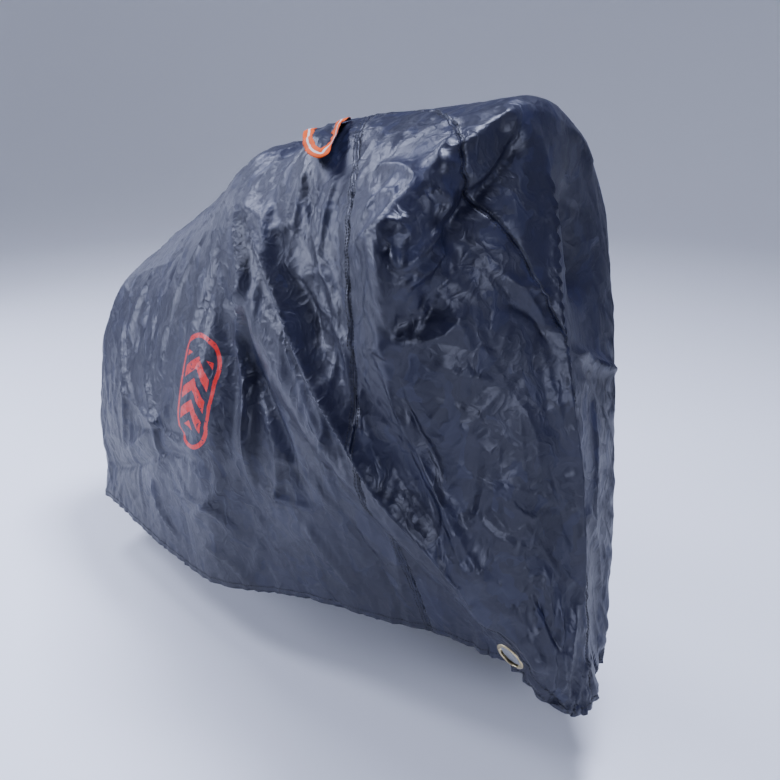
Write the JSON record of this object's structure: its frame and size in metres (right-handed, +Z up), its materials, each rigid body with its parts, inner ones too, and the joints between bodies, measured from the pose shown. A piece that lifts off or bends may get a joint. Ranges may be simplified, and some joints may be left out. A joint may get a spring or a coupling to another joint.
{
  "type": "scooter cover",
  "caption": "Fitted scooter cover of dark coated cloth as it hangs over a parked scooter, with ribbon-edged vent hoods and lock eyelets in its front hem.",
  "frame": {"origin": "underside of the crown on the centre plane over the handlebar, where the scooter carries the cover", "axes": "+X to the scooter's front, +Y to its left, +Z up"},
  "size_m": [1.6281, 0.6598, 1.171],
  "materials": {
    "taffeta": "dark navy coated polyester taffeta, satin, finely creased",
    "ribbon": "orange woven ribbon with a silver reflective centre stripe",
    "nickel": "nickel-plated pressed steel, polished"
  },
  "bodies": {
    "root": {"right_rear_panel": "taffeta", "left_rear_panel": "taffeta", "right_front_panel": "taffeta", "left_front_panel": "taffeta", "right_hem_strip": "taffeta", "left_hem_strip": "taffeta", "right_vent_hood": "taffeta", "left_vent_hood": "taffeta", "right_vent_ribbon": "ribbon", "left_vent_ribbon": "ribbon", "right_eyelet": "nickel", "left_eyelet": "nickel"}
  },
  "joints": []
}
